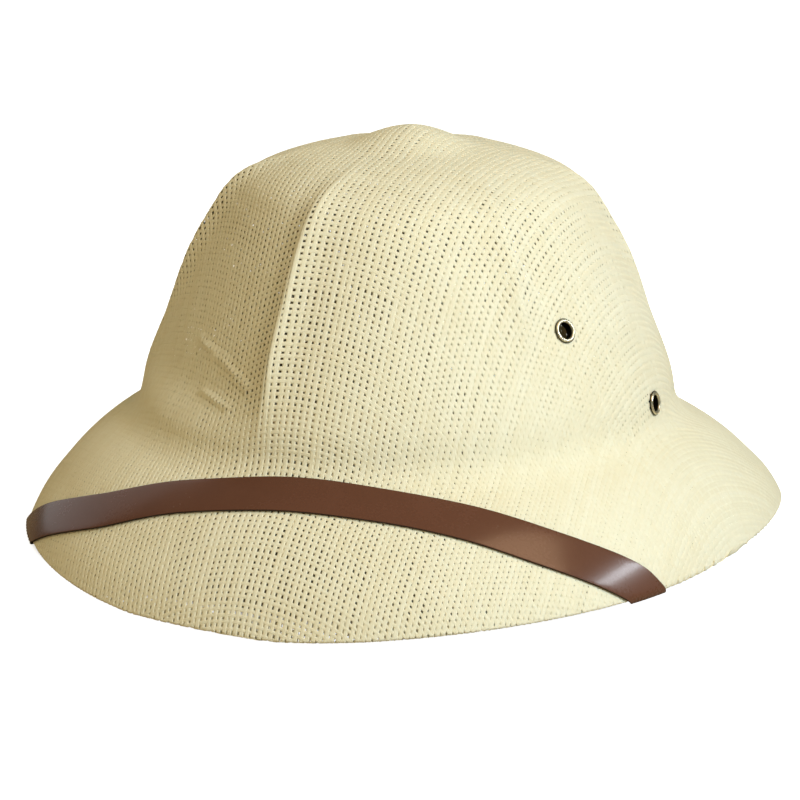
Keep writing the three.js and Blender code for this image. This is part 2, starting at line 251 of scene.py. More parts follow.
def meridian_run(azimuth, station):
    """Unit direction down the meridian, from the top towards the edge."""
    step = 0.004
    above = outer_point(azimuth, np.clip(station - step, 0, 2))
    below = outer_point(azimuth, np.clip(station + step, 0, 2))
    return unit(below - above)


def outer_normal(azimuth, station):
    side = 0.5
    around = outer_point(azimuth + side, station) - outer_point(azimuth - side, station)
    return unit(np.cross(meridian_run(azimuth, station), around))


top = outer_point(0.0, 0.0)
print("top of the crown at", np.round(top, 1), "mm")

# %% [markdown]
# ## The camera
# The picture was taken from a little above the brim and to the wearer's left of the front,
# from far enough away that the lines hardly converge. A long lens a metre and a half away
# gives the same view. It is aimed at the middle of the picture instead of using lens shift,
# so that it can be walked round the hat.

# %% Place the camera
VIEW = dict(azimuth=31.53, elevation=14.54, roll=0.6, distance=1500, lens=179.5)
LOOK_AT = Vector((2.3, -16.4, 55.5)) * MM


def toward(azimuth, elevation):
    """Direction from the hat, by azimuth from the front and by height above the floor."""
    turn, rise = math.radians(azimuth), math.radians(elevation)
    return Vector((math.sin(turn) * math.cos(rise), -math.cos(turn) * math.cos(rise), math.sin(rise)))


def add_object(name, data):
    thing = bpy.data.objects.new(name, data)
    bpy.context.scene.collection.objects.link(thing)
    return thing


camera_data = bpy.data.cameras.new("view")
camera_data.lens = VIEW["lens"]
camera = add_object("view", camera_data)
camera.location = LOOK_AT + toward(VIEW["azimuth"], VIEW["elevation"]) * VIEW["distance"] * MM
aim = (LOOK_AT - camera.location).to_track_quat("-Z", "Y")
camera.rotation_mode = "QUATERNION"
camera.rotation_quaternion = aim @ Quaternion((0, 0, 1), math.radians(VIEW["roll"]))
bpy.context.scene.camera = camera
print("camera at", [round(value, 3) for value in camera.location])

# %% [markdown]
# ## Floor and light
# The hat stands on a pale floor. A cool window and a warmer lamp light the wearer's left
# side; the front and the other side only get what two walls send back, so they lie in a soft
# warm shade. A far wall and a narrow strip light are seen only as reflections: they give the
# band its grey sheen at one end and its bright stripe at the other. Two ovals of shade lie
# under the hat and behind it, on the part of the floor that the hat hides in the main view,
# because a white floor would shine through the weave. The floor glows, so that it stays
# white and takes no shadow, and from behind the ovals stand in for one.
# One bright sky would be simpler, but it leaves the straw without its light and dark halves.

# %% Build the floor and the lights
FLOOR = dict(
    half_width=6.0, drop=0.0004, roughness=0.9, glow=1.0,
    seen=(0.8, 0.8, 0.8, 1), bounce=(0.42, 0.34, 0.22, 1), under=(0.3, 0.23, 0.12, 1),
)
# Painted shade on the floor: inside these ovals the floor takes the under colour and does not glow.
SHADE = dict(turn=31.5, soft=0.92)
SHADE_OVALS = [
    dict(middle=(-0.041, 0.047, 0), size=(0.137, 0.192, 1)),
    dict(middle=(-0.0495, -0.0187, 0), size=(0.1, 0.115, 1)),
]
LIGHTS = [
    dict(name="window", azimuth=76, elevation=30, distance=1.6, size=(0.8, 0.8),
         power=25.4, color=(0.594, 0.782, 1.0)),
    dict(name="lamp", azimuth=80, elevation=52, distance=1.6, size=(0.8, 0.8),
         power=8.2, color=(1.0, 0.686, 0.417)),
    dict(name="front_wall", azimuth=5, elevation=40, distance=1.7, size=(1.2, 1.2),
         power=5.3, color=(0.956, 1.0, 0.64)),
    dict(name="left_wall", azimuth=-40, elevation=20, distance=1.7, size=(1.6, 1.6),
         power=4.2, color=(1.0, 0.564, 0.304)),
    dict(name="far_wall", azimuth=-106, elevation=27, distance=1.8, size=(1.6, 1.6),
         power=4.8, color=(0.92, 0.95, 1.0)),
    dict(name="glint", azimuth=114, elevation=25, distance=1.6, size=(0.85, 0.16),
         power=9, color=(0.85, 0.93, 1.0)),
]
GLOSS_ONLY, NO_GLOSS = ("far_wall", "glint"), ("front_wall", "left_wall", "window")
WORLD = dict(color=(0.963, 1.0, 0.787), strength=0.162)


def new_material(name):
    """New material and its Principled shader."""
    material = bpy.data.materials.new(name)
    material.use_nodes = True
    return material, material.node_tree.nodes["Principled BSDF"]


def feed(node, inputs):
    """Set a node's inputs by name or number, and link those that another node works out."""
    for name, value in inputs.items():
        if isinstance(value, bpy.types.NodeSocket):
            node.id_data.links.new(value, node.inputs[name])
        else:
            node.inputs[name].default_value = value
    return node


def calculate(material, operation, *values):
    """Math node on sockets or plain numbers; returns its result."""
    node = material.node_tree.nodes.new("ShaderNodeMath")
    node.operation = operation
    return feed(node, dict(enumerate(values))).outputs[0]


def scaled(material, value, gain, base):
    return calculate(material, "MULTIPLY_ADD", value, gain, base)


def mix_colors(material, share, low, high):
    """Colour that goes from low to high as the share grows."""
    node = material.node_tree.nodes.new("ShaderNodeMix")
    node.data_type = "RGBA"
    return feed(node, dict(Factor=share, A=low, B=high)).outputs["Result"]


def add_light(name, azimuth, elevation, distance, size, power, color):
    data = bpy.data.lights.new(name, "AREA")
    data.shape, data.energy, data.color = "ELLIPSE", power, color
    data.size, data.size_y = size
    lamp = add_object(name, data)
    lamp.location = LOOK_AT + toward(azimuth, elevation) * distance
    lamp.rotation_mode = "QUATERNION"
    lamp.rotation_quaternion = (LOOK_AT - lamp.location).to_track_quat("-Z", "Y")
    lamp.visible_diffuse = name not in GLOSS_ONLY
    lamp.visible_glossy = name not in NO_GLOSS


def floor_material():
    """White to the eye, though it throws little light back, with two ovals of painted shade."""
    material, shader = new_material("pale_floor")
    add = material.node_tree.nodes.new
    place, spreads = add("ShaderNodeTexCoord"), []
    for shape in SHADE_OVALS:
        oval, spread = add("ShaderNodeMapping"), add("ShaderNodeVectorMath")
        oval.vector_type, spread.operation = "TEXTURE", "LENGTH"
        feed(oval, dict(
            Vector=place.outputs["Object"], Location=shape["middle"],
            Rotation=(0, 0, math.radians(SHADE["turn"])), Scale=shape["size"],
        ))
        feed(spread, {0: oval.outputs["Vector"]})
        spreads.append(spread.outputs["Value"])
    clear = add("ShaderNodeMapRange")
    clear.interpolation_type = "SMOOTHSTEP"
    feed(clear, {"From Min": SHADE["soft"], "Value": calculate(material, "MINIMUM", *spreads)})
    bright = clear.outputs["Result"]
    dull, rays = add("ShaderNodeBsdfDiffuse"), add("ShaderNodeLightPath")
    feed(dull, dict(Color=mix_colors(material, bright, FLOOR["under"], FLOOR["bounce"])))
    feed(shader, {
        "Base Color": mix_colors(material, bright, FLOOR["under"], FLOOR["seen"]),
        "Roughness": FLOOR["roughness"],
        "Emission Color": (1, 1, 1, 1),
        "Emission Strength": calculate(material, "MULTIPLY", bright, FLOOR["glow"]),
    })
    choose = add("ShaderNodeMixShader")
    feed(choose, {"Fac": rays.outputs["Is Camera Ray"], 1: dull.outputs[0], 2: shader.outputs[0]})
    feed(material.node_tree.nodes["Material Output"], dict(Surface=choose.outputs[0]))
    return material


def build_floor():
    corners = ((-1, -1), (1, -1), (1, 1), (-1, 1))
    mesh = bpy.data.meshes.new("floor")
    half = FLOOR["half_width"]
    mesh.from_pydata([(x * half, y * half, -FLOOR["drop"]) for x, y in corners], [], [(0, 1, 2, 3)])
    mesh.materials.append(floor_material())
    floor = add_object("floor", mesh)


for light in LIGHTS:
    add_light(**light)
build_floor()
world = bpy.data.worlds.new("room")
world.use_nodes = True
sky = world.node_tree.nodes["Background"]
feed(sky, dict(Color=(*WORLD["color"], 1), Strength=WORLD["strength"]))
bpy.context.scene.world = world
bpy.context.scene.view_settings.view_transform = "Standard"
print(len(LIGHTS), "lights over a floor", 2 * FLOOR["half_width"], "m wide")

# %% [markdown]
# ## Flat cloth on a round form
# The cloth starts flat, with one set of yarns running front to back and the other from side
# to side. Pressing pulls it over the block: straight down the front the squares stay square,
# and on the diagonals they shear into lozenges and close up. The flat cloth is a plane with
# coordinates u and v. A rule says where a place on the hat came from on that plane, and
# Newton's method turns the rule round to find where each crossing went. A texture could show
# the pattern, but yarns that are really there also give the holes, the silhouette and the
# shadows.

# %% Lengths and girths of the form
CLOTH = dict(turn=7.5, shear=0.8, girth_gain=1.03, depth=0.5)
HEM = dict(radius=0.6, starts_before=0.9, width=7.0)

stations = np.linspace(0, 2, 601)
ring_azimuths = np.arange(0, 360, 5.0)
rings = outer_point(ring_azimuths[:, None], stations[None, :])
steps = np.linalg.norm(np.diff(rings, axis=1), axis=-1).mean(axis=0)
lengths = np.concatenate([[0], np.cumsum(steps)])
around = np.linalg.norm(np.roll(rings, -1, axis=0) - rings, axis=-1).sum(axis=0)
girth_radii = around / (2 * math.pi)
crease_length = np.interp(1, stations, lengths)
hem_start = lengths[-1] - HEM["starts_before"]
cloth_end = hem_start + math.pi * HEM["radius"] + HEM["width"]
print("cloth runs", round(cloth_end), "mm from the top to the end of its hem")


# %% From the flat cloth to the form
NEWTON = dict(rounds=12, length_step=25, turn_step=0.3, shortest=0.05, farthest=1.5, flattest=1e-6)


def shear_at(length):
    wider = CLOTH["girth_gain"] * np.interp(length, lengths, girth_radii) - length
    return CLOTH["shear"] * wider / 4


def flat_from_form(length, turn):
    """Place on the flat cloth, as a complex number v + iu, and its two derivatives."""
    near = 0.5
    shear = shear_at(length)
    shear_rate = (shear_at(length + near) - shear_at(length - near)) / (2 * near)
    spin, counter = np.exp(1j * turn), np.exp(-3j * turn)
    flat = (length + shear) * spin - shear * counter
    by_length = (1 + shear_rate) * spin - shear_rate * counter
    by_turn = 1j * (length + shear) * spin + 3j * shear * counter
    return flat, by_length, by_turn


def form_from_flat(u, v):
    """Length from the top and turn on the form of places on the flat cloth."""
    wanted = v + 1j * u
    length, turn = np.abs(wanted), np.angle(wanted)
    for _ in range(NEWTON["rounds"]):
        flat, by_length, by_turn = flat_from_form(length, turn)
        miss = wanted - flat
        area = (by_length.conjugate() * by_turn).imag
        area = np.where(np.abs(area) < NEWTON["flattest"], NEWTON["flattest"], area)
        farther = (miss.conjugate() * by_turn).imag / area
        rounder = (by_length.conjugate() * miss).imag / area
        length = length + np.clip(farther, -NEWTON["length_step"], NEWTON["length_step"])
        turn = turn + np.clip(rounder, -NEWTON["turn_step"], NEWTON["turn_step"])
        length = np.clip(length, NEWTON["shortest"], NEWTON["farthest"] * cloth_end)
    return length, turn


def round_edge(length, azimuth, height, bend_radius):
    """Points at a height off the straw, over the brim, round its edge and back inside.

    Also gives the way each point faces. The bend radius is that of the sheet itself, and
    says how much of its length the turn takes.
    """
    beyond = np.maximum(length - hem_start, 0)
    bend = np.clip(beyond / bend_radius, 0, math.pi)[..., None]
    back = np.maximum(beyond - math.pi * bend_radius, 0)
    station = np.interp(np.minimum(length, hem_start) - back, lengths, stations)
    normal, run = outer_normal(azimuth, station), meridian_run(azimuth, station)
    facing = normal * np.cos(bend) + run * np.sin(bend)
    axis_depth = CLOTH["depth"] + HEM["radius"]
    axis = outer_point(azimuth, station) - normal * axis_depth
    return axis + facing * np.asarray(axis_depth + height)[..., None], facing


def cloth_point(length, azimuth):
    """Middle of the cloth and its outward normal."""
    return round_edge(length, azimuth, -CLOTH["depth"], HEM["radius"])


corner_length = form_from_flat(100.0, 100.0)[0]
print("a place 100 mm along and across lands", round(float(corner_length)), "mm from the top")

# %% [markdown]
# ## Two sets of yarns
# Each yarn is a chain of crossings. It lies over one neighbour and under the next, and the
# other set does the opposite, which is all that a plain weave is. Real straw is uneven, so
# each yarn has its own width, tone and small sideways wander, drawn with a fixed seed. At an
# eyelet the yarns are cut, and the brass flange covers their ends.

# %% Lay out the crossings
WEAVE = dict(lengthwise=2.72, crosswise=2.24, wander=0.04, wander_span=14, seed=7)
HALF_COLUMNS, HALF_ROWS = 100, 122
VENTS = dict(front=(71.5, 0.673), rear=(97.5, 0.91))
EYELETS = [
    dict(node=f"eyelet_{side}_{place}", azimuth=way * azimuth, down=down)
    for side, way in (("left", 1), ("right", -1))
    for place, (azimuth, down) in VENTS.items()
]
EYELET_CUT = 3.9

rng = np.random.default_rng(WEAVE["seed"])
columns = np.arange(-HALF_COLUMNS, HALF_COLUMNS + 1)
rows = np.arange(-HALF_ROWS, HALF_ROWS + 1)


def slow_noise(count, span):
    """Random values along a row of yarns that change slowly, over about span yarns."""
    knots = rng.standard_normal(count // span + 4)
    return through(knots, np.arange(count) / span + 1)


column_u = (columns + 0.5 + WEAVE["wander"] * rng.standard_normal(len(columns))) * WEAVE["lengthwise"]
row_v = (rows + 0.5 + WEAVE["wander"] * rng.standard_normal(len(rows))) * WEAVE["crosswise"]
column_wander = np.stack([slow_noise(len(rows), WEAVE["wander_span"]) for _ in columns])
row_wander = np.stack([slow_noise(len(columns), WEAVE["wander_span"]) for _ in rows], axis=1)
grid_u = column_u[:, None] + column_wander * WEAVE["wander"] * WEAVE["lengthwise"] / 2
grid_v = row_v[None, :] + row_wander * WEAVE["wander"] * WEAVE["crosswise"] / 2
cloth_length, cloth_turn = form_from_flat(grid_u, grid_v)
cloth_azimuth = np.degrees(cloth_turn) + CLOTH["turn"]
inside = cloth_length < cloth_end
middle = cloth_point(cloth_length, cloth_azimuth)[0]
eyelet_centres = [outer_point(vent["azimuth"], vent["down"]) for vent in EYELETS]
from_vent = np.min([np.linalg.norm(middle - centre, axis=-1) for centre in eyelet_centres], axis=0)
over = np.where((columns[:, None] + rows[None, :]) % 2 == 0, 1.0, -1.0)
print(int(inside.sum()), "crossings lie on the hat")


# %% Chain the crossings into yarns
BEND_STEPS = 4


def cut_at_vent(chain, start, end):
    """End of a yarn where it meets an eyelet, between a point outside and one inside."""
    share = (chain["vent"][start] - EYELET_CUT) / (chain["vent"][start] - chain["vent"][end])
    return {key: values[start] + (values[end] - values[start]) * share for key, values in chain.items()}


def yarn_runs(chain, kept):
    """Unbroken stretches of one yarn, with cut ends added where an eyelet breaks it."""
    runs, run = [], []
    for index in range(len(kept)):
        if kept[index] and chain["vent"][index] > EYELET_CUT:
            if not run and index and kept[index - 1]:
                run.append(cut_at_vent(chain, index, index - 1))
            run.append({key: values[index] for key, values in chain.items()})
        elif run:
            if kept[index]:
                run.append(cut_at_vent(chain, index - 1, index))
            runs.append(run)
            run = []
    if run:
        runs.append(run)
    return [run for run in runs if len(run) > 2]


def round_the_edge(run):
    """Columns of one yarn's points, with more of them where it bends round the brim's edge."""
    track = {key: np.array([point[key] for point in run]) for key in run[0]}
    nearer = np.minimum(track["length"][1:], track["length"][:-1])
    farther = np.maximum(track["length"][1:], track["length"][:-1])
    bends = (farther > hem_start) & (nearer < hem_start + math.pi * HEM["radius"])
    counts = np.where(bends, BEND_STEPS, 1)
    spots = [step + np.arange(count) / count for step, count in enumerate(counts)]
    spots = np.concatenate(spots + [[len(run) - 1]])
    return {key: np.interp(spots, np.arange(len(run)), values) for key, values in track.items()}


def family_runs(indices, lengthwise):
    """Every yarn of one set, as columns of length, azimuth and lift along it."""
    runs = []
    for index in indices:
        pick = (index, slice(None)) if lengthwise else (slice(None), index)
        azimuth = np.degrees(np.unwrap(np.radians(cloth_azimuth[pick])))
        lift = over[pick] if lengthwise else -over[pick]
        chain = dict(length=cloth_length[pick], azimuth=azimuth, lift=lift, vent=from_vent[pick])
        runs += [round_the_edge(run) for run in yarn_runs(chain, inside[pick])]
    return runs


middle_yarn = family_runs([HALF_COLUMNS], True)[0]
print("the middle yarn has", len(middle_yarn["length"]), "points")

# %% [markdown]
# ## Sweeping the yarns with Geometry Nodes
# The script hands Geometry Nodes a bare skeleton: points joined by edges, with the cloth's
# normal and an up or down sign stored on each point. The tree moves each point over or
# under its neighbour, turns the edges into curves, and sweeps a flat oval along them. The
# faces stay unsmoothed, because pressed straw is flat and smoothing would make it look round.
# One tree serves both sets of yarns: width, thickness and wave height are its inputs.
# Modelling one crossing and copying it would be quicker, but copies can't follow the shear.

# %% Build the yarn tree
YARN_SIDES = 6
FLAT_SIDE_UP = math.pi / YARN_SIDES


def link_chain(tree, *nodes):
    for before, after in zip(nodes, nodes[1:]):
        tree.links.new(before.outputs[0], after.inputs[0])


def yarn_tree():
    """Skeleton with cloth_normal, lift and fullness on its points in, swept yarns out."""
    tree = bpy.data.node_groups.new("woven_yarn", "GeometryNodeTree")
    inputs = dict(
        Geometry="Geometry", Width="Float", Thickness="Float", Wave="Float", Rise="Float",
        Sides="Int", Straw="Material",
    )
    for name, kind in inputs.items():
        tree.interface.new_socket(name, in_out="INPUT", socket_type="NodeSocket" + kind)
    tree.interface.new_socket("Geometry", in_out="OUTPUT", socket_type="NodeSocketGeometry")
    add = tree.nodes.new
    entry, leave = add("NodeGroupInput"), add("NodeGroupOutput")

    def named(name, kind):
        node = add("GeometryNodeInputNamedAttribute")
        node.data_type = kind
        return feed(node, dict(Name=name)).outputs["Attribute"]

    def store(name, value):
        return feed(add("GeometryNodeStoreNamedAttribute"), dict(Name=name, Value=value))

    wave, offset = add("ShaderNodeMath"), add("ShaderNodeVectorMath")
    wave.operation, offset.operation = "MULTIPLY_ADD", "SCALE"
    feed(wave, {0: named("lift", "FLOAT"), 1: entry.outputs["Wave"], 2: entry.outputs["Rise"]})
    feed(offset, {0: named("cloth_normal", "FLOAT_VECTOR"), "Scale": wave.outputs[0]})
    move = feed(add("GeometryNodeSetPosition"), dict(Offset=offset.outputs[0]))

    to_curve, upright = add("GeometryNodeMeshToCurve"), add("GeometryNodeSetCurveNormal")
    upright.mode = "FREE"
    feed(upright, dict(Normal=named("cloth_normal", "FLOAT_VECTOR")))
    along = store("along", add("GeometryNodeSplineParameter").outputs["Length"])

    oval, turn = add("GeometryNodeCurvePrimitiveCircle"), add("GeometryNodeTransform")
    size, flatten = add("ShaderNodeCombineXYZ"), add("GeometryNodeTransform")
    feed(oval, dict(Radius=0.5, Resolution=entry.outputs["Sides"]))
    feed(turn, dict(Rotation=(0, 0, FLAT_SIDE_UP)))
    feed(size, dict(X=entry.outputs["Thickness"], Y=entry.outputs["Width"]))
    feed(flatten, dict(Scale=size.outputs[0]))
    about = store("about", add("GeometryNodeSplineParameter").outputs["Factor"])
    link_chain(tree, oval, turn, flatten, about)

    sweep = add("GeometryNodeCurveToMesh")
    feed(sweep, {"Profile Curve": about.outputs[0], "Fill Caps": True})
    feed(sweep, dict(Scale=named("fullness", "FLOAT")))
    faceted, realize = add("GeometryNodeSetShadeSmooth"), add("GeometryNodeRealizeInstances")
    feed(faceted, {"Shade Smooth": False})
    finish = feed(add("GeometryNodeSetMaterial"), dict(Material=entry.outputs["Straw"]))
    link_chain(tree, entry, move, to_curve, upright, along, sweep, faceted, realize, finish, leave)
    return tree


woven_yarn = yarn_tree()
print("yarn tree has", len(woven_yarn.nodes), "nodes")

# %% [markdown]
# ## What the finishes share
# Straw, leather and brass all vary slowly from place to place: sun-bleached and darker
# patches, handling, tarnish. One shader node group makes that mottling from two sizes of
# noise, and each material sets its own scale. It hands out a plain number, so that a
# material can use it for colour in one place and for roughness in another.

# %% Build the mottle group
def mottle_group():
    group = bpy.data.node_groups.new("mottle", "ShaderNodeTree")
    for name in ("Patch Scale", "Speck Scale", "Speck Share"):
        group.interface.new_socket(name, in_out="INPUT", socket_type="NodeSocketFloat")
    group.interface.new_socket("Mottle", in_out="OUTPUT", socket_type="NodeSocketFloat")
    add = group.nodes.new
    entry, leave, place = add("NodeGroupInput"), add("NodeGroupOutput"), add("ShaderNodeTexCoord")
    sizes = []
    for socket in ("Patch Scale", "Speck Scale"):
        noise = add("ShaderNodeTexNoise")
        feed(noise, dict(Detail=3, Vector=place.outputs["Object"], Scale=entry.outputs[socket]))
        sizes.append(noise.outputs["Fac"])
    blend = feed(add("ShaderNodeMix"), dict(Factor=entry.outputs["Speck Share"], A=sizes[0], B=sizes[1]))
    feed(leave, dict(Mottle=blend.outputs["Result"]))
    return group


mottle = mottle_group()


def place_mottle(material, patch, speck, share):
    node = material.node_tree.nodes.new("ShaderNodeGroup")
    node.node_tree = mottle
    feed(node, {"Patch Scale": patch, "Speck Scale": speck, "Speck Share": share})
    return node.outputs["Mottle"]


def attribute(material, name):
    node = material.node_tree.nodes.new("ShaderNodeAttribute")
    node.attribute_name = name
    return node.outputs["Fac"]


def tones(material, value, *stops):
    """Colour ramp over a value, from (place, linear colour) stops."""
    node = material.node_tree.nodes.new("ShaderNodeValToRGB")
    ramp = node.color_ramp
    while len(ramp.elements) < len(stops):
        ramp.elements.new(0.5)
    for element, (place, color) in zip(ramp.elements, stops):
        element.position, element.color = place, (*color, 1)
    return feed(node, dict(Fac=value)).outputs["Color"]


def bump(material, shader, height, strength, distance):
    node = material.node_tree.nodes.new("ShaderNodeBump")
    feed(node, dict(Strength=strength, Distance=distance, Height=height))
    feed(shader, dict(Normal=node.outputs["Normal"]))


print("mottle group has", len(mottle.nodes), "nodes")

# %% [markdown]
# ## Straw
# Each yarn is a strip of pale straw paper twisted into a flat string, so fine slanting
# creases run round it and its tone drifts along its length. The tree has stored how far
# along the yarn and how far round it each point lies, and a sine wave of the two together
# draws the twist. Some yarns are creamier and some more golden than their neighbours.

# %% Make the straw finish
TWIST = dict(per_metre=420.0, turns=2.0, depth=0.5)
STRAW = dict(tint=0.15, patches=0.5, base=0.23, roughness=(0.25, 0.6), specular=0.12)


def straw_material():
    material, shader = new_material("woven_straw")
    patches = place_mottle(material, patch=26, speck=420, share=0.45)
    tone = scaled(material, attribute(material, "tint"), STRAW["tint"], STRAW["base"])
    tone = scaled(material, patches, STRAW["patches"], tone)
    color = tones(
        material, tone,
        (0.12, (0.60, 0.485, 0.26)), (0.42, (0.765, 0.67, 0.44)), (0.85, (0.84, 0.775, 0.57)),
    )
    turns = calculate(material, "MULTIPLY", attribute(material, "about"), TWIST["turns"])
    phase = scaled(material, attribute(material, "along"), TWIST["per_metre"], turns)
    phase = calculate(material, "MULTIPLY", phase, 2 * math.pi)
    crease = calculate(material, "SINE", phase)
    relief = scaled(material, crease, TWIST["depth"], patches)
    bump(material, shader, relief, strength=0.35, distance=0.00012)
    roughness = scaled(material, patches, *STRAW["roughness"])
    feed(shader, {"Base Color": color, "Roughness": roughness, "Specular IOR Level": STRAW["specular"]})
    return material


straw = straw_material()
print("straw finish has", len(straw.node_tree.nodes), "nodes")

# %% [markdown]
# ## Weaving the hat
# The yarns are made in four pieces, so that each stays light enough to handle: the
# lengthwise yarns of the left and right halves, and the crosswise yarns of the front and
# rear halves. Together they stand for the plain shell of the solid model. The cloth is most
# open down the front. Towards the sides and the top the press has flattened the straw, so
# the yarns get wider there and the holes close. On the diagonals they are narrower, so that
# the sheared holes stay open. The yarns could all have one width, but then the weave would
# look like a wire mesh.

# %% Weave the four pieces
LENGTHWISE = dict(width=1.92, thickness=0.46, wave=0.03, rise=0.03)
CROSSWISE = dict(width=1.5, thickness=0.46, wave=0.05, rise=0.02)
UNEVEN = dict(width=0.02, drift=0.05, drift_span=5, tone=0.15, tone_span=9)
PRESSED = dict(
    open_at=-10, spread=70, closing=0.14, top=(30, 90), top_closing=0.15,
    brim_reached=20, brim_opening=0.045, brim_sides=(58, 108), brim_closing=0.26,
    diagonal=(90, 150), diagonal_opening=0.1,
)


def pressed_width(length, azimuth):
    """Width of the pressed straw, as a share of its own: least where the weave is most open."""
    aside = (azimuth - PRESSED["open_at"] + 180) % 360 - 180
    closed = PRESSED["closing"] * (1 - np.exp(-((aside / PRESSED["spread"]) ** 2)))
    top = PRESSED["top_closing"] * (1 - smoothstep(length, *PRESSED["top"]))
    brim = smoothstep(length, crease_length, crease_length + PRESSED["brim_reached"])
    rolled = PRESSED["brim_closing"] * smoothstep(np.abs(aside), *PRESSED["brim_sides"])
    sheared = np.sin(np.radians(2 * azimuth)) ** 2 * smoothstep(length, *PRESSED["diagonal"])
    spread = PRESSED["diagonal_opening"] * sheared
    return 1 + top + closed * (1 - brim) + (rolled - PRESSED["brim_opening"]) * brim - spread


def store_values(mesh, **columns):
    """Store one number on each point, under each name."""
    for name, column in columns.items():
        stored = mesh.attributes.new(name, "FLOAT", "POINT")
        stored.data.foreach_set("value", np.ravel(column).astype(np.float32))


def skeleton(name, runs):
    """Bare edges through every yarn's points, with what the tree needs stored on them."""
    counts = [len(run["length"]) for run in runs]
    joined = {key: np.concatenate([run[key] for run in runs]) for key in ("length", "azimuth", "lift")}
    points, normals = cloth_point(joined["length"], joined["azimuth"])
    first = np.arange(len(points))
    last_of_yarn = np.isin(first, np.cumsum(counts) - 1)
    edges = np.stack([first, first + 1], axis=1)[~last_of_yarn]
    swell, tint = [], []
    for count in counts:
        own_width = 1 + UNEVEN["width"] * rng.standard_normal()
        swell.append(own_width + UNEVEN["drift"] * slow_noise(count, UNEVEN["drift_span"]))
        tone = rng.random() + UNEVEN["tone"] * slow_noise(count, UNEVEN["tone_span"])
        tint.append(np.clip(tone, 0, 1))
    mesh = bpy.data.meshes.new(name)
    mesh.from_pydata((points * MM).tolist(), edges.tolist(), [])
    fullness = np.concatenate(swell) * pressed_width(joined["length"], joined["azimuth"])
    store_values(mesh, lift=joined["lift"], fullness=fullness, tint=np.concatenate(tint))
    normal = mesh.attributes.new("cloth_normal", "FLOAT_VECTOR", "POINT")
    normal.data.foreach_set("vector", normals.astype(np.float32).ravel())
    return add_object(name, mesh)


def run_tree(holder, tree, settings):
    """Evaluate a node tree on an object and return the result as a plain mesh object."""
    modifier = holder.modifiers.new(tree.name, "NODES")
    modifier.node_group = tree
    for item in tree.interface.items_tree:
        if item.in_out == "INPUT" and item.name in settings:
            modifier[item.identifier] = settings[item.name]
    graph = bpy.context.evaluated_depsgraph_get()
    mesh = bpy.data.meshes.new_from_object(
        holder.evaluated_get(graph), preserve_all_data_layers=True, depsgraph=graph
    )
    name = holder.name
    bpy.data.objects.remove(holder)
    mesh.name = name
    return add_object(name, mesh)


def face_out(mesh):
    """Turn the faces of closed tubes outwards if the sweep left them facing in."""
    mesh.calc_loop_triangles()
    corners = np.zeros(len(mesh.loop_triangles) * 3, np.int32)
    mesh.loop_triangles.foreach_get("vertices", corners)
    spots = np.zeros(len(mesh.vertices) * 3, np.float32)
    mesh.vertices.foreach_get("co", spots)
    a, b, c = (spots.reshape(-1, 3)[corners.reshape(-1, 3)[:, corner]] for corner in range(3))
    if np.einsum("ij,ij->", a, np.cross(b, c)) < 0:
        mesh.flip_normals()
    return len(corners) // 3


def weave_piece(name, runs, sizes):
    settings = {key.capitalize(): size * MM for key, size in sizes.items()}
    settings.update(Sides=YARN_SIDES, Straw=straw)
    piece = run_tree(skeleton(name, runs), woven_yarn, settings)
    triangles = face_out(piece.data)
    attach(piece, "root")
    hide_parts("straw_shell")
    print(name, len(runs), "yarns,", triangles, "triangles")


weave_piece("straw_lengthwise_right", family_runs(range(HALF_COLUMNS), True), LENGTHWISE)
weave_piece("straw_lengthwise_left", family_runs(range(HALF_COLUMNS, len(columns)), True), LENGTHWISE)
weave_piece("straw_crosswise_rear", family_runs(range(HALF_ROWS), False), CROSSWISE)
weave_piece("straw_crosswise_front", family_runs(range(HALF_ROWS, len(rows)), False), CROSSWISE)

# %% [markdown]
# ## Leather
# The band is smooth brown leather with a low gloss: fine pores, a slightly uneven dye, and
# cut edges that are stained almost black. A fine cell noise makes the pores, and the
# strip's own edge attribute says where the stain lies, so no picture is needed.

# %% Make the leather finish
PORES = dict(per_metre=1500, width=0.25)
LEATHER = dict(
    polish=(0.08, 0.23), edge_dullness=0.4, coat=(-0.25, 0.25), coat_roughness=0.15, specular=0.24,
    edge=(0.018, 0.010, 0.006, 1),
)


def leather_material():
    material, shader = new_material("brown_leather")
    add = material.node_tree.nodes.new
    dye = place_mottle(material, patch=45, speck=900, share=0.3)
    face = tones(
        material, dye,
        (0.3, (0.108, 0.040, 0.020)), (0.5, (0.117, 0.044, 0.022)), (0.7, (0.127, 0.048, 0.025)),
    )
    cut_edge = attribute(material, "edge")
    place, pores = add("ShaderNodeTexCoord"), add("ShaderNodeTexVoronoi")
    pores.feature = "DISTANCE_TO_EDGE"
    feed(pores, dict(Scale=PORES["per_metre"], Vector=place.outputs["Object"]))
    grain = calculate(material, "MINIMUM", pores.outputs["Distance"], PORES["width"])
    bump(material, shader, grain, strength=0.1, distance=0.00008)
    polish = scaled(material, dye, *LEATHER["polish"])
    feed(shader, {
        "Base Color": mix_colors(material, cut_edge, face, LEATHER["edge"]),
        "Roughness": scaled(material, cut_edge, LEATHER["edge_dullness"], polish),
        "Coat Weight": scaled(material, cut_edge, *LEATHER["coat"]),
        "Coat Roughness": LEATHER["coat_roughness"],
        "Specular IOR Level": LEATHER["specular"],
    })
    return material


leather = leather_material()
print("leather finish has", len(leather.node_tree.nodes), "nodes")

# %% [markdown]
# ## The band
# A strip of leather lies slantwise across the front of the brim. Its ends bend over the
# rolled edge and are held underneath. The strip follows a line on the form and is swept as
# a section with rounded shoulders. A curve with a bevel would do for a flat strip, but this
# one has to lean with the brim along its whole width, so every section point is placed on
# the form.

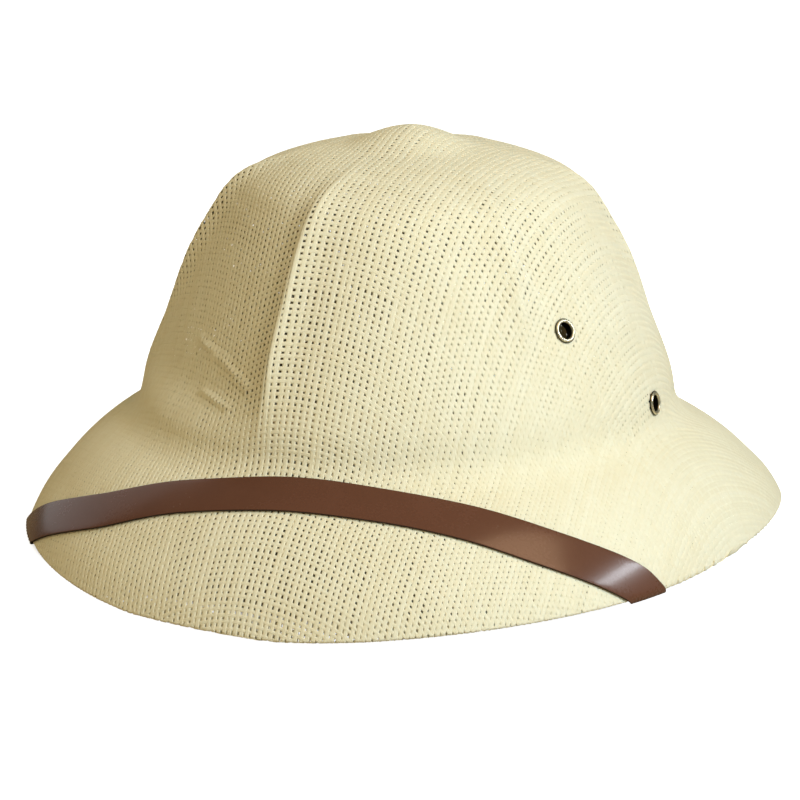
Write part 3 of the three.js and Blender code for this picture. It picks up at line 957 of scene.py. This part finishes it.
# %% Lay the band on the brim
BAND = dict(width=14.5, thickness=0.9, lift=0.1, shoulder=0.35, bend_radius=1.6)
BAND_STEPS, BAND_POINTS = 30, 9
# The middle line: azimuths, and shares of the way from the crease to the edge and past it.
BAND_LINE = np.array([
    (-58, 1.34), (-54, 1.17), (-48.5, 1.0), (-40, 0.86), (-28, 0.65), (-12, 0.35), (8, 0.18),
    (26, 0.22), (42, 0.41), (57, 0.7), (67.8, 0.915), (72.2, 1.02), (77, 1.3),
])

brim_length = lengths[-1] - crease_length
line_azimuth, line_across = BAND_LINE.T
line_length = np.interp(1 + line_across, stations, lengths)
line_length = line_length + brim_length * np.maximum(0, line_across - 1)


def band_point(azimuth, length, height):
    return round_edge(length, azimuth, height, BAND["bend_radius"])[0]


def beside_line(place, out):
    """Azimuth and length from the top, at a distance out from the band's middle line."""
    near = 0.02
    azimuth, length = through(line_azimuth, place), through(line_length, place)
    ahead, down = slope(line_azimuth, place, near), slope(line_length, place, near)
    side, step = 0.5, 1.0
    low = np.minimum(length, hem_start - step)
    by_turn = (band_point(azimuth + side, low, 0) - band_point(azimuth - side, low, 0)) / (2 * side)
    by_length = (band_point(azimuth, low + step, 0) - band_point(azimuth, low - step, 0)) / (2 * step)
    turn_size = np.linalg.norm(by_turn, axis=-1)
    length_size = np.linalg.norm(by_length, axis=-1)
    skew = np.einsum("...i,...i->...", by_turn, by_length) / (turn_size * length_size)
    along_turn = ahead * turn_size + down * length_size * skew
    along_length = down * length_size
    size = np.hypot(along_turn, along_length)
    azimuth = azimuth - out * along_length / size / turn_size
    return azimuth, length + out * along_turn / size / length_size


def band_section():
    """Closed outline of the strip: distances out from the middle, heights, and edge stain."""
    half, shoulder, thick = BAND["width"] / 2, BAND["shoulder"], BAND["thickness"]
    straight = half - shoulder
    flat = np.linspace(-1, 1, BAND_POINTS) * straight
    curve = np.radians([15, 45, 75])
    reach, rise = straight + shoulder * np.sin(curve), shoulder * (1 - np.cos(curve))
    side = np.concatenate([reach, [half, half], reach[::-1]])
    climb = np.concatenate([rise, [shoulder, thick - shoulder], thick - rise[::-1]])
    out = np.concatenate([flat, side, flat[::-1], -side])
    height = np.concatenate([0 * flat, climb, 0 * flat + thick, climb[::-1]])
    stain = smoothstep(np.abs(out), half - 0.6 * shoulder, half - 0.1 * shoulder)
    return out, height, stain


def tube_mesh(name, loops):
    """Closed skin over loops of points, with flat ends."""
    sections, count = loops.shape[:2]
    index = np.arange(sections * count).reshape(sections, count)
    beside = np.roll(index, -1, axis=1)
    faces = np.stack([index[:-1], beside[:-1], beside[1:], index[1:]], axis=-1).reshape(-1, 4).tolist()
    faces += [index[0, ::-1].tolist(), index[-1].tolist()]
    mesh = bpy.data.meshes.new(name)
    mesh.from_pydata((loops.reshape(-1, 3) * MM).tolist(), [], faces)
    mesh.shade_smooth()
    return mesh


def add_piece(name, mesh, material, node):
    piece = add_object(name, mesh)
    mesh.materials.append(material)
    triangles = face_out(mesh)
    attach(piece, "root")
    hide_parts(node)
    print(name, triangles, "triangles")


section_out, section_height, section_stain = band_section()
places = np.linspace(0, len(BAND_LINE) - 1, (len(BAND_LINE) - 1) * BAND_STEPS + 1)
place_grid, out_grid = np.meshgrid(places, section_out, indexing="ij")
band_azimuth, band_length = beside_line(place_grid, out_grid)
heights = BAND["lift"] + np.broadcast_to(section_height, place_grid.shape)
band_loops = band_point(band_azimuth, band_length, heights)
band_mesh = tube_mesh("leather_band", band_loops)
store_values(band_mesh, edge=np.broadcast_to(section_stain, place_grid.shape))
add_piece("leather_band", band_mesh, leather, "front_band")

# %% [markdown]
# ## Antique brass
# The eyelets are brass that has been darkened and then rubbed, so the raised roll is bright
# and the groove round it stays a dull olive. The section stores how deep in the groove each
# point lies, and the material mixes tarnish in by that value and by the shared mottling. On
# the bore the value is highest and paints it almost black: painted shade for the inside of
# the hole.

# %% Make the brass finish
BRASS = dict(spots=0.35, roughness=(0.45, 0.2), metallic=0.9)


def brass_material():
    material, shader = new_material("antique_brass")
    spots = place_mottle(material, patch=300, speck=2400, share=0.5)
    # Higher values give olive tarnish in the groove and, on the bore, a near black that is painted shade
    # for the inside of the hole.
    dull = scaled(material, spots, BRASS["spots"], attribute(material, "tarnish"))
    color = tones(
        material, dull,
        (0.2, (0.72, 0.66, 0.48)), (0.5, (0.3, 0.25, 0.14)), (0.9, (0.02, 0.017, 0.01)),
    )
    roughness = scaled(material, dull, *BRASS["roughness"])
    feed(shader, {"Base Color": color, "Roughness": roughness, "Metallic": BRASS["metallic"]})
    return material


brass = brass_material()
print("brass finish has", len(brass.node_tree.nodes), "nodes")

# %% [markdown]
# ## The vent eyelets
# An eyelet is a short tube pushed through the straw, with its outer end rolled over and its
# inner end splayed. A turned section makes the whole of it, as a lathe would, and the same
# section stands at four places on the crown.

# %% Turn and seat the eyelets
EYELET = dict(lip=4.6, groove=4.3, bore=3.05, barrel=3.5, base=0.2, roll=0.8, foot=-2.6, splay=4.3)
EYELET_SIDES, ROLL_POINTS = 56, 9


def eyelet_section():
    """Closed section as (reach, height, tarnish and painted shade) rows, from the lip over the roll and
    back.
    """
    lip, groove, bore, barrel, base, roll, foot, splay = EYELET.values()
    centre, half = (groove + bore) / 2, (groove - bore) / 2
    flange = [(lip - 0.05, 0.05, 0.8), (lip, 0.16, 0.7), (lip - 0.08, 0.28, 0.6)]
    trough = [(groove + 0.12, 0.3, 0.7), (groove + 0.02, 0.24, 0.9)]
    rolled = [
        (centre + half * math.cos(angle), base + (roll - base) * math.sin(angle), 0.0)
        for angle in np.radians(np.linspace(15, 180, ROLL_POINTS))
    ]
    # The bore's highest value paints it almost black, as painted shade for the inside of the hole.
    inside_wall = [(bore, -0.1, 1.0), (bore, foot, 1.0), (bore + 0.3, foot - 0.5, 1.0)]
    splayed = [(splay - 0.2, foot - 0.55, 0.4), (splay, foot - 0.35, 0.4), (splay - 0.1, foot, 0.7)]
    outside_wall = [(barrel, foot + 0.1, 0.9), (barrel, 0.02, 0.9)]
    return np.array(flange + trough + rolled + inside_wall + splayed + outside_wall)


def turned_mesh(name, rows, seat, upright):
    """Section turned round an axis, stood on a seat; returns a closed ring."""
    size = (EYELET_SIDES, len(rows))
    turns = np.linspace(0, 2 * math.pi, EYELET_SIDES, endpoint=False)[:, None]
    reach, height, tarnish = (np.broadcast_to(column, size) for column in rows.T)
    local = np.stack([reach * np.cos(turns), reach * np.sin(turns), height], axis=-1)
    spots = (local @ np.array(upright.to_matrix()).T + seat).reshape(-1, 3) * MM
    index = np.arange(len(spots)).reshape(size)
    ahead, beside = np.roll(index, -1, axis=0), np.roll(index, -1, axis=1)
    opposite = np.roll(ahead, -1, axis=1)
    faces = np.stack([index, ahead, opposite, beside], axis=-1).reshape(-1, 4)
    mesh = bpy.data.meshes.new(name)
    mesh.from_pydata(spots.tolist(), [], faces.tolist())
    store_values(mesh, tarnish=tarnish)
    mesh.shade_smooth()
    return mesh


for vent in EYELETS:
    seat = outer_point(vent["azimuth"], vent["down"])
    outward = Vector(outer_normal(vent["azimuth"], vent["down"]))
    upright = Vector((0, 0, 1)).rotation_difference(outward)
    ring = turned_mesh(vent["node"] + "_rolled", eyelet_section(), seat, upright)
    add_piece(vent["node"] + "_rolled", ring, brass, vent["node"])
